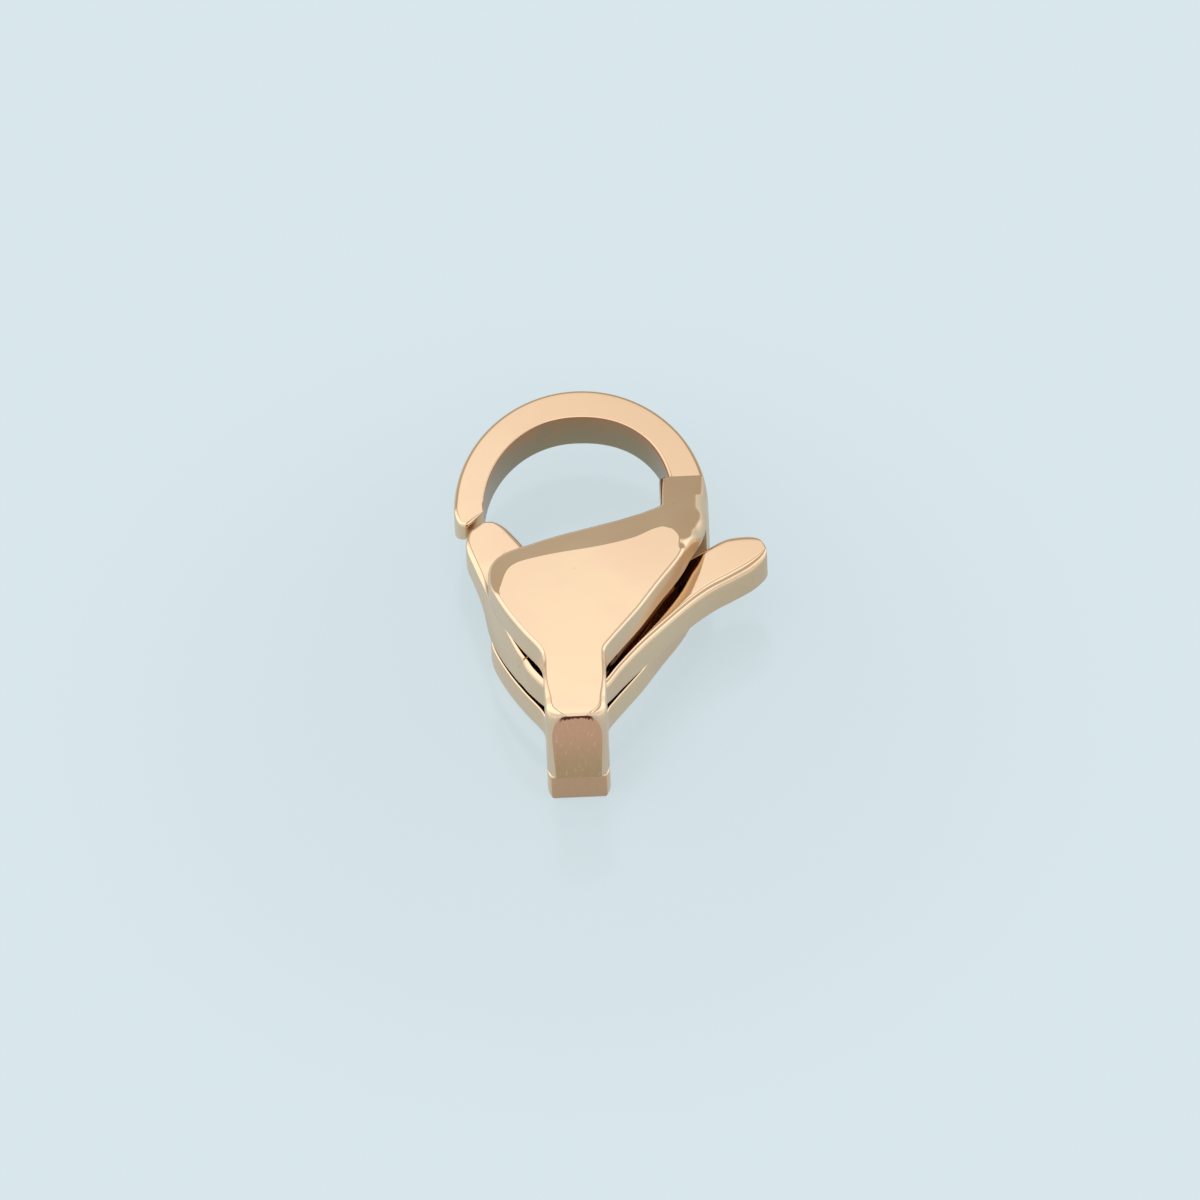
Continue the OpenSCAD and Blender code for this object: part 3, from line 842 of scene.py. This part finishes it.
def make_casting(context):
    """The hook, both plates, the neck and the tail's loop in one piece."""
    shape = Shape(context.scene)
    plates = shape.plates
    hook = hook_rows(shape)
    rows = hook[:-1] + plate_rows(shape, hook[-1])
    front = Front(shape)
    bar = next(i for i, row in enumerate(rows) if row.top == shape.thick)
    sections = [section(rows, i, front if i >= bar else None) for i in range(len(rows))]
    solid = swept(sections)
    lean = math.tan(math.radians(plates.tail_lean))
    grind(solid, (0, -shape.tail_l, 0), (0, -1, lean))
    made = to_object("clasp_casting", solid)
    slot_low, beyond, seam = shape.plate_t, shape.beyond, mm(plates.seam)
    sideways = Matrix.Rotation(math.pi / 2, 3, "Y")
    cuts = (
        prism(slot_outline(shape), slot_low, shape.thick - shape.plate_t),
        lip_wedge(shape),
        drum(2 * shape.loop_r, (0, shape.loop_y, shape.mid_z), -beyond, beyond, sideways),
        slab(shape, -beyond, shape.loop_y, slot_low, slot_low + seam),
        prism(strip_outline(shape), -shape.plate_t, slot_low + seam / 2),
        drum(mm(PIN_HIGH.x - PIN_LOW.x), (0, 0, 0), mm(PIN_LOW.z), mm(PIN_HIGH.z)),
    )
    combine(made, [("DIFFERENCE", cut) for cut in cuts])
    tail_end = -shape.tail_l + mm(plates.tail_wall)
    strip_top = slot_low + 2 * seam
    lip_r = mm(plates.lip_r)
    round_edges(made, (
        (lambda p: p.y < tail_end and p.z < strip_top, lip_r),
        (lambda p: p.y > tail_end and abs(p.x) > mm(PIN_HIGH.x) * LIP_FROM, lip_r),
    ))
    finish_piece(made, rose_gold(context.scene, "rose_gold", True), "clasp", "clasp_body")


def make_lever(context):
    """The gate, the hub and the thumb tab in one piece, bored for the pin."""
    shape = Shape(context.scene)
    lever = shape.lever
    edge_r, near_r, tab_r = mm(lever.edge_r), mm(lever.near_r), mm(lever.tab_r)
    top, foot = mm(lever.top), mm(lever.foot)
    tip_out, tip_in = shape.tip_point(*TIP[0][:2]), shape.tip_point(*TIP[0][2:4])
    tip_run = (tip_in - tip_out).normalized()
    away = Vector((tip_run.y, -tip_run.x)) * mm(lever.tip_gap)
    end_low, end_high = (tip_out.lerp(tip_in, share) + away for share in GATE_FACE)
    gate_end = (end_low + end_high) / 2
    gate_run = gate_end.normalized()
    gate_side = Vector((gate_run.y, -gate_run.x))

    def row(low, high, near, far, swell=0.0, across=0.0, lean=0.0):
        level = top + swell * mm(lever.swell)
        return Row(high[0], high[1], low[0], low[1], level, foot, far, near, edge_r / 2, 0.0, across, 1.0,
                   lean * mm(lever.lean))

    def gate_point(along, across):
        return gate_run * along * gate_end.length + gate_side * across * mm(lever.gate_w)

    def arm_point(along, across):
        return shape.arm_run * along * mm(lever.tab_l) + shape.arm_side * across * mm(lever.tab_w)

    hub_r, gate_r, end_r = mm(lever.hub_r), mm(lever.gate_r), END_EDGE * edge_r
    rows = [row(end_low, end_high, end_r, end_r, across=1.0)]
    for low_along, low_across, high_along, high_across, swell, lean, near, far in GATE:
        low, high = gate_point(low_along, low_across), gate_point(high_along, high_across)
        rows.append(row(low, high, near * gate_r, far * gate_r, swell, lean=lean))
    for low_x, low_y, high_x, high_y, near, swell, lean in HUB:
        low, high = (low_x * hub_r, low_y * hub_r), (high_x * hub_r, high_y * hub_r)
        rows.append(row(low, high, near_r * near, edge_r, swell, lean=lean))
    for low_along, low_across, high_along, high_across, near, far, across, swell in ARM:
        low, high = arm_point(low_along, low_across), arm_point(high_along, high_across)
        rows.append(row(low, high, near_r * near, mix(edge_r, tab_r, far), swell, across))
    rows = rounded_start(smooth_rows(rows, ROW_STEPS), end_r)
    rows = rounded_start(rows[::-1], TAB_END * tab_r)[::-1]
    made = to_object("lever_casting", swept([section(rows, i, plain=True) for i in range(len(rows))]))
    low, high = mm(LEVER_LOW.z), mm(LEVER_HIGH.z)
    combine(made, (
        ("UNION", drum(mm(lever.boss_d), (0, 0, 0), low, high)),
        ("DIFFERENCE", drum(mm(lever.bore_d), (0, 0, 0), -high, 2 * high)),
    ))
    gold = rose_gold(context.scene, "lever_rose_gold", False)
    finish_piece(made, gold, "lever", "lever")


class Nodes:
    """A node tree that is filled by one short call for each node."""

    def __init__(self, tree):
        self.tree = tree
        tree.nodes.clear()

    def feed(self, socket, value):
        """Links a socket to an output, or sets its value."""
        if isinstance(value, bpy.types.NodeSocket):
            self.tree.links.new(value, socket)
        elif hasattr(value, "__len__") and len(value) == 3 and socket.type == "RGBA":
            socket.default_value = (*value, 1.0)
        else:
            socket.default_value = value

    def add(self, kind, inputs=(), **settings):
        """Adds a node with its settings and its inputs: pairs of a socket's name or number and a value."""
        made = self.tree.nodes.new(kind)
        for name, value in settings.items():
            setattr(made, name, value)
        for name, value in inputs:
            self.feed(made.inputs[name], value)
        return made

    def math(self, operation, *values):
        """The result of a sum on numbers or outputs."""
        made = self.add("ShaderNodeMath", tuple(enumerate(values)), operation=operation)
        return made.outputs[0]

    def vector(self, operation, output, *values):
        """The named output of a sum on vectors."""
        made = self.add("ShaderNodeVectorMath", tuple(enumerate(values)), operation=operation)
        return made.outputs[output]

    def axes(self, vector):
        """The three parts of a vector."""
        made = self.add("ShaderNodeSeparateXYZ", (("Vector", vector),))
        return made.outputs["X"], made.outputs["Y"], made.outputs["Z"]

    def surface(self, *inputs):
        """Ends a material with a surface shader that has these inputs."""
        shader = self.add("ShaderNodeBsdfPrincipled", inputs)
        self.add("ShaderNodeOutputMaterial", (("Surface", shader.outputs["BSDF"]),))

    def ramp(self, value, *stops, smooth=True):
        """A number from 0 to 1 turned into grey levels: stops are pairs of a place and a level."""
        made = self.add("ShaderNodeValToRGB", (("Fac", value),))
        made.color_ramp.interpolation = "EASE" if smooth else "LINEAR"
        points = made.color_ramp.elements
        while len(points) < len(stops):
            points.new(0.5)
        for point, (place, level) in zip(points, stops):
            point.position = place
            point.color = (level, level, level, 1.0)
        return made.outputs["Color"]

    def noise(self, vector, scale, detail=2.0, roughness=0.5):
        """The level of a cloudy pattern."""
        made = self.add("ShaderNodeTexNoise", (
            ("Vector", vector), ("Scale", scale), ("Detail", detail), ("Roughness", roughness)))
        return made.outputs["Fac"]

    def blend(self, share, a, b):
        """The colour a share of the way from a to b."""
        made = self.add("ShaderNodeMix", data_type="RGBA")
        for socket, value in ((made.inputs[0], share), (made.inputs[6], a), (made.inputs[7], b)):
            self.feed(socket, value)
        return made.outputs[2]


def new_material(name):
    """An empty material and its node tree."""
    material = bpy.data.materials.new(name)
    material.use_nodes = True
    return material, Nodes(material.node_tree)


# The middle of the hook's bend, about which the painted shade inside it is placed, in millimetres
BEND_MIDDLE = (0.27, 6.2, 1.7)


def painted_bend_shade(nodes, in_mm, normal, waves, tint, colours):
    """Painted shade: the tint darkened on the inside of the hook's bend, browner at its top, standing in for
    the shade that the inner wall mirrors.
    """
    away = nodes.vector("SUBTRACT", "Vector", in_mm, BEND_MIDDLE)
    faces = nodes.vector("DOT_PRODUCT", "Value", away, normal)
    _, y, z = nodes.axes(in_mm)
    inward = nodes.ramp(nodes.math("MULTIPLY", faces, -0.2), (0.12, 0.0), (0.30, 1.0))
    in_bend = nodes.ramp(nodes.math("MULTIPLY", y, 0.1), (0.50, 0.0), (0.58, 1.0))
    up = nodes.math("ADD", nodes.math("SUBTRACT", z, 1.4), nodes.math("SUBTRACT", waves, 0.5))
    patch_tint = nodes.blend(nodes.ramp(up, (0.1, 0.0), (0.9, 1.0)), colours.bend_shade_low, colours.bend_shade_top)
    return nodes.blend(nodes.math("MULTIPLY", inward, in_bend), tint, patch_tint)


def painted_slot_shade(nodes, in_mm, normal_z, tint, colours):
    """Painted shade: the tint made darker on the front plate's inner face, where the slot lies in shade."""
    z = nodes.axes(in_mm)[2]
    down = nodes.ramp(nodes.math("MULTIPLY", normal_z, -1.0), (0.8, 0.0), (0.9, 1.0))
    high = nodes.ramp(nodes.math("MULTIPLY", z, 0.25), (0.55, 0.0), (0.60, 1.0))
    return nodes.blend(nodes.math("MULTIPLY", down, high), tint, colours.slot)


# The ground end's arched top, along which a dark line of painted shade runs: half its width, the height where
# it starts and its rise, in millimetres, and the power of its curve
ARCH_HALF_W = 0.68
ARCH_Z = 2.40
ARCH_RISE = 0.94
ARCH_POWER = 3.0


def ground_end(nodes, scene, in_mm, normal_y, before):
    """The tint, roughness and height with the tail's ground end and the lower strip's cut end added, and a
    dark line of painted shade along the ground end's top.
    """
    plates, colours = scene.clasp_plates, scene.clasp_colours
    tint, rough, height = before
    x, y, z = nodes.axes(in_mm)
    lean = math.tan(math.radians(plates.tail_lean))
    off = nodes.math("ADD", nodes.math("SUBTRACT", y, nodes.math("MULTIPLY", z, lean)), mm(plates.tail_l))
    ground = nodes.ramp(off, (0.006, 1.0), (0.014, 0.0))
    back = nodes.math("ABSOLUTE", nodes.math("SUBTRACT", off, mm(plates.strip_back)))
    low = nodes.ramp(z, (0.80, 1.0), (0.86, 0.0))
    near = nodes.math("MULTIPLY", nodes.math("MULTIPLY", normal_y, -1.0), low)
    at_end = nodes.ramp(back, (0.03, 1.0), (0.06, 0.0))
    strip = nodes.math("MULTIPLY", at_end, nodes.ramp(near, (0.7, 0.0), (0.9, 1.0)))
    aside = nodes.math("ABSOLUTE", nodes.math("DIVIDE", x, ARCH_HALF_W))
    above = nodes.math("DIVIDE", nodes.math("MAXIMUM", nodes.math("SUBTRACT", z, ARCH_Z), 0.0), ARCH_RISE)
    reach = nodes.math(
        "ADD", nodes.math("POWER", aside, ARCH_POWER), nodes.math("POWER", above, ARCH_POWER))
    streaks_place = nodes.add("ShaderNodeMapping", (("Vector", in_mm), ("Scale", (9.0, 9.0, 2.2))))
    streaks = nodes.noise(streaks_place.outputs["Vector"], 2.0, 5.0, 0.7)
    # Painted shade: a dark ragged line along the ground end's arched top
    ragged_shade = nodes.math("MULTIPLY", nodes.ramp(nodes.math("ABSOLUTE", x), (0.36, 1.0), (0.46, 0.0)),
                      nodes.ramp(nodes.math("ADD", reach, nodes.math("MULTIPLY", streaks, 0.7)),
                                 (0.98, 0.0), (1.0, 1.0)))
    patch_tint = nodes.blend(nodes.ramp(nodes.math("MULTIPLY", z, 0.25), (0.25, 0.0), (0.72, 1.0)),
                       colours.ground_low, colours.ground)
    patch_tint = nodes.blend(nodes.ramp(streaks, (0.55, 0.0), (0.72, 1.0)), patch_tint, colours.ground_light)
    patch_tint = nodes.blend(ragged_shade, patch_tint, colours.ragged_shade)
    tint = nodes.blend(ground, tint, patch_tint)
    tint = nodes.blend(strip, tint, nodes.blend(streaks, colours.ground, colours.ground_low))
    both = nodes.math("MAXIMUM", ground, nodes.math("MULTIPLY", strip, 0.6))
    rough = nodes.math("ADD", rough, nodes.math("MULTIPLY", both, 0.26))
    height = nodes.math("ADD", height, nodes.math("MULTIPLY", nodes.math("MULTIPLY", both, streaks), 1.6))
    return tint, rough, height


# Depth of the polish's waves
BUMP_DEPTH = 0.006 * MM


def rose_gold(scene, name, casting):
    """Polished plating with faint clouds, specks and waves, and painted shade towards the hook's top right;
    on the casting also painted shade inside the hook's bend and on the front plate's inner face, and the
    ground end with a dark line of painted shade along its top.
    """
    colours = scene.clasp_colours
    material, nodes = new_material(name)
    place = nodes.add("ShaderNodeTexCoord")
    in_mm = nodes.add("ShaderNodeMapping", (
        ("Vector", place.outputs["Object"]), ("Scale", (1 / MM, 1 / MM, 1 / MM)))).outputs["Vector"]
    _, normal_y, normal_z = nodes.axes(place.outputs["Normal"])
    wall = nodes.math("SUBTRACT", 1.0, nodes.math("ABSOLUTE", normal_z))
    clouds = nodes.noise(in_mm, 0.45, 2.0)
    waves = nodes.noise(in_mm, 2.2, 3.0, 0.55)
    grain = nodes.noise(in_mm, 14.0, 4.0, 0.6)
    speck = nodes.ramp(nodes.noise(in_mm, 5.0, 1.0), (0.76, 0.0), (0.80, 1.0))
    tint = nodes.blend(nodes.ramp(clouds, (0.35, 0.0), (0.65, 1.0)), colours.gold, colours.gold_pink)
    x, y, _ = nodes.axes(in_mm)
    # Painted shade: the tint darkens towards the hook's top right, standing in for the dimmer light that the
    # plating mirrors there
    shade_share = nodes.math("ADD", nodes.math("MULTIPLY", x, 0.155),
                      nodes.math("SUBTRACT", nodes.math("MULTIPLY", y, 0.141), 0.46))
    tint = nodes.blend(nodes.ramp(shade_share, (0.0, 0.0), (1.0, 1.0), smooth=False), tint, colours.gold_shade)
    tint = nodes.blend(nodes.math("MULTIPLY", speck, 0.5), tint, colours.speck)
    soft = nodes.ramp(wall, (0.55, 0.0), (0.95, 1.0))
    rough = nodes.math("ADD", 0.06, nodes.math("MULTIPLY", nodes.math("MULTIPLY", grain, 0.07),
                                               nodes.math("ADD", 0.6, wall)))
    rough = nodes.math("ADD", rough, nodes.math("MULTIPLY", soft, 0.20))
    height = nodes.math("MULTIPLY", waves, nodes.math("ADD", 0.12, nodes.math("MULTIPLY", wall, 0.9)))
    if casting:
        tint = painted_bend_shade(nodes, in_mm, place.outputs["Normal"], waves, tint, colours)
        tint = painted_slot_shade(nodes, in_mm, normal_z, tint, colours)
        tint, rough, height = ground_end(nodes, scene, in_mm, normal_y, (tint, rough, height))
    bump = nodes.add("ShaderNodeBump", (("Strength", 1.0), ("Distance", BUMP_DEPTH), ("Height", height)))
    nodes.surface(
        ("Base Color", tint), ("Metallic", 1.0), ("Roughness", rough), ("Normal", bump.outputs["Normal"]))
    return material


def drawn_steel(scene):
    """The pin's steel, with fine lines round it from drawing."""
    colours = scene.clasp_colours
    material, nodes = new_material("pin_steel")
    place = nodes.add("ShaderNodeTexCoord").outputs["Object"]
    lines_place = nodes.add("ShaderNodeMapping", (
        ("Vector", place), ("Scale", (1.5 / MM, 1.5 / MM, 30 / MM)))).outputs["Vector"]
    lines = nodes.noise(lines_place, 1.0, 3.0, 0.6)
    tint = nodes.blend(lines, colours.steel, tuple(0.8 * c for c in colours.steel))
    bump = nodes.add("ShaderNodeBump", (("Strength", 0.6), ("Distance", 0.004 * MM), ("Height", lines)))
    rough = nodes.math("ADD", 0.22, nodes.math("MULTIPLY", lines, 0.18))
    nodes.surface(
        ("Base Color", tint), ("Metallic", 1.0), ("Roughness", rough), ("Normal", bump.outputs["Normal"]))
    return material


# Painted shadow round the clasp: how far from the clasp the surface's glow is full, and its share close to
# the clasp
SHADOW_RUN = 16 * MM
SHADOW_GLOW = 0.95


def pale_surface(scene):
    """A smooth pale blue sheet with a faint sheen, its glow dimmed close to the clasp as a painted shadow."""
    colours = scene.clasp_colours
    material, nodes = new_material("pale_surface")
    place = nodes.add("ShaderNodeTexCoord").outputs["Object"]
    clouds = nodes.noise(place, 45.0, 2.0)
    tint = nodes.blend(nodes.math("MULTIPLY", clouds, 0.35), colours.surface,
                       tuple(0.97 * c for c in colours.surface))
    away = nodes.vector("LENGTH", "Value", place)
    # Painted shadow: the glow is dimmed close to the clasp
    near = nodes.ramp(nodes.math("DIVIDE", away, SHADOW_RUN), (0.4, 0.0), (1.0, 1.0))
    glow = nodes.blend(near, tuple(SHADOW_GLOW * c for c in colours.surface_glow), colours.surface_glow)
    nodes.surface(
        ("Base Color", tint), ("Roughness", 0.16), ("IOR", 1.42), ("Emission Color", glow),
        ("Emission Strength", 1.0))
    return material


# The studio's light, as levels of the brightest. The panel that the front faces mirror is dimmer low down:
# pairs of a height and a level. A dark gap parts it from the bright room round it: pairs of an angle away
# from the panel's middle, as a share of half a turn, and the room's share or the room's level. The far
# horizon is dim: pairs of the far part of the direction and its share
PANEL_HEIGHT = 50.0
PANEL_LIGHT = ((0.64, 0.62), (0.76, 0.78), (0.84, 0.92))
PANEL_EDGE = ((0.055, 0.0), (0.064, 1.0))
ROOM_LIGHT = ((0.064, 0.30), (0.088, 0.32), (0.115, 1.0), (0.42, 1.0), (0.55, 0.6))
FAR_SHARE = ((0.50, 0.0), (0.66, 1.0))
FAR_LIGHT = (0.375, 0.362, 0.322)
SIDE_LEVEL = 0.42
BRIGHTEST = 1.7
BACKDROP = (0.69, 0.80, 0.84)


def make_light(scene):
    """Soft light from all round: a bright panel before the clasp, a gap round it and a dim horizon."""
    world = bpy.data.worlds.new("studio")
    scene.world = world
    world.use_nodes = True
    nodes = Nodes(world.node_tree)
    way = nodes.add("ShaderNodeTexCoord").outputs["Generated"]
    x, y, z = nodes.axes(way)
    panel_height = math.radians(PANEL_HEIGHT)
    toward = nodes.math("ADD", nodes.math("MULTIPLY", y, math.cos(panel_height)),
                        nodes.math("MULTIPLY", z, math.sin(panel_height)))
    away = nodes.math("DIVIDE", nodes.math("ARCCOSINE", toward), math.pi)
    panel = nodes.ramp(z, *PANEL_LIGHT, smooth=False)
    room = nodes.ramp(away, *ROOM_LIGHT, smooth=False)
    side = nodes.math("MULTIPLY", nodes.ramp(x, (0.30, 0.0), (0.40, 1.0)),
                      nodes.ramp(z, (0.62, 0.0), (0.70, 1.0)))
    room = nodes.blend(side, room, (SIDE_LEVEL,) * 3)
    room = nodes.blend(nodes.ramp(y, *FAR_SHARE, smooth=False), room, FAR_LIGHT)
    level = nodes.blend(nodes.ramp(away, *PANEL_EDGE, smooth=False), panel, room)
    light = nodes.add("ShaderNodeBackground", (("Color", level), ("Strength", BRIGHTEST)))
    plain = nodes.add("ShaderNodeBackground", (("Color", BACKDROP), ("Strength", 1.0)))
    seen = nodes.add("ShaderNodeLightPath").outputs["Is Camera Ray"]
    both = nodes.add("ShaderNodeMixShader", (
        ("Fac", seen), (1, light.outputs["Background"]), (2, plain.outputs["Background"])))
    nodes.add("ShaderNodeOutputWorld", (("Surface", both.outputs["Shader"]),))


# The camera: its height above the horizon and its roll in degrees, its distance, and the frame's width
# and middle, all in the clasp's own frame
CAMERA_HEIGHT = 50.0
CAMERA_ROLL = 2.5
CAMERA_DISTANCE = 1.2
FRAME_W = 30.573 * MM
FRAME_MIDDLE = Vector((0.730, 1.170, 3.4)) * MM
SENSOR_W = 36.0


def make_camera(scene):
    """The photograph's view, with a long lens."""
    lens = bpy.data.cameras.new("camera")
    lens.sensor_width = SENSOR_W
    lens.lens = SENSOR_W * CAMERA_DISTANCE / FRAME_W
    lens.clip_start = 0.01
    lens.dof.use_dof = False
    camera = bpy.data.objects.new("camera", lens)
    height, roll = math.radians(CAMERA_HEIGHT), math.radians(CAMERA_ROLL)
    back = Vector((0, -math.cos(height), math.sin(height)))
    level_up = Vector((0, math.sin(height), math.cos(height)))
    right = Vector((1, 0, 0)) * math.cos(roll) - level_up * math.sin(roll)
    up = Vector((1, 0, 0)) * math.sin(roll) + level_up * math.cos(roll)
    turn = Matrix((right, up, back)).transposed().to_4x4()
    camera.matrix_world = Matrix.Translation(FRAME_MIDDLE + back * CAMERA_DISTANCE) @ turn
    scene.collection.objects.link(camera)
    scene.camera = camera


# Half the width of the surface
FLOOR_HALF = 0.6


def make_floor(scene):
    """The surface that the clasp lies on."""
    sheet = bmesh.new()
    bmesh.ops.create_grid(sheet, x_segments=1, y_segments=1, size=FLOOR_HALF)
    mesh = bpy.data.meshes.new("surface")
    sheet.to_mesh(mesh)
    sheet.free()
    mesh.materials.append(pale_surface(scene))
    floor = bpy.data.objects.new("surface", mesh)
    scene.collection.objects.link(floor)


class CLASP_OT_stage(bpy.types.Operator):
    """Make the surface, the soft light and the camera"""

    bl_idname = "clasp.stage"
    bl_label = "Stage"

    def execute(self, context):
        scene = context.scene
        scene.view_settings.view_transform = "Standard"
        make_light(scene)
        make_camera(scene)
        make_floor(scene)
        return {"FINISHED"}


class CLASP_OT_casting(bpy.types.Operator):
    """Make the casting: hook, plates, neck and tail loop"""

    bl_idname = "clasp.casting"
    bl_label = "Casting"

    def execute(self, context):
        make_casting(context)
        return {"FINISHED"}


class CLASP_OT_lever(bpy.types.Operator):
    """Make the lever: gate, hub and thumb tab"""

    bl_idname = "clasp.lever"
    bl_label = "Lever"

    def execute(self, context):
        make_lever(context)
        return {"FINISHED"}


class CLASP_OT_pin(bpy.types.Operator):
    """Give the pivot pin its steel"""

    bl_idname = "clasp.pin"
    bl_label = "Pin"

    def execute(self, context):
        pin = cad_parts["pivot_pin"]
        pin.data.materials.clear()
        pin.data.materials.append(drawn_steel(context.scene))
        return {"FINISHED"}


class CLASP_PT_panel(bpy.types.Panel):
    """Lists the clasp's sizes, colours and pieces."""

    bl_idname = "CLASP_PT_panel"
    bl_label = "Lobster clasp"
    bl_space_type = "VIEW_3D"
    bl_region_type = "UI"
    bl_category = "Clasp"

    def draw(self, context):
        for title, group in (("Plates", "clasp_plates"), ("Hook", "clasp_hook"),
                             ("Lever", "clasp_lever"), ("Colours", "clasp_colours")):
            box = self.layout.box()
            box.label(text=title)
            settings = getattr(context.scene, group)
            for name in type(settings).__annotations__:
                box.prop(settings, name)
        for operator in OPERATORS:
            self.layout.operator(operator.bl_idname)


GROUPS = {
    "clasp_plates": ClaspPlates,
    "clasp_hook": ClaspHook,
    "clasp_lever": ClaspLever,
    "clasp_colours": ClaspColours,
}
OPERATORS = (CLASP_OT_stage, CLASP_OT_casting, CLASP_OT_lever, CLASP_OT_pin)


def register():
    for group in GROUPS.values():
        bpy.utils.register_class(group)
    for name, group in GROUPS.items():
        setattr(bpy.types.Scene, name, bpy.props.PointerProperty(type=group))
    for cls in (*OPERATORS, CLASP_PT_panel):
        bpy.utils.register_class(cls)


def unregister():
    for cls in (CLASP_PT_panel, *reversed(OPERATORS)):
        bpy.utils.unregister_class(cls)
    for name, group in GROUPS.items():
        delattr(bpy.types.Scene, name)
        bpy.utils.unregister_class(group)


def main():
    """Makes everything in order."""
    register()
    bpy.ops.clasp.stage()
    bpy.ops.clasp.casting()
    bpy.ops.clasp.lever()
    bpy.ops.clasp.pin()


if __name__ == "__main__":
    main()
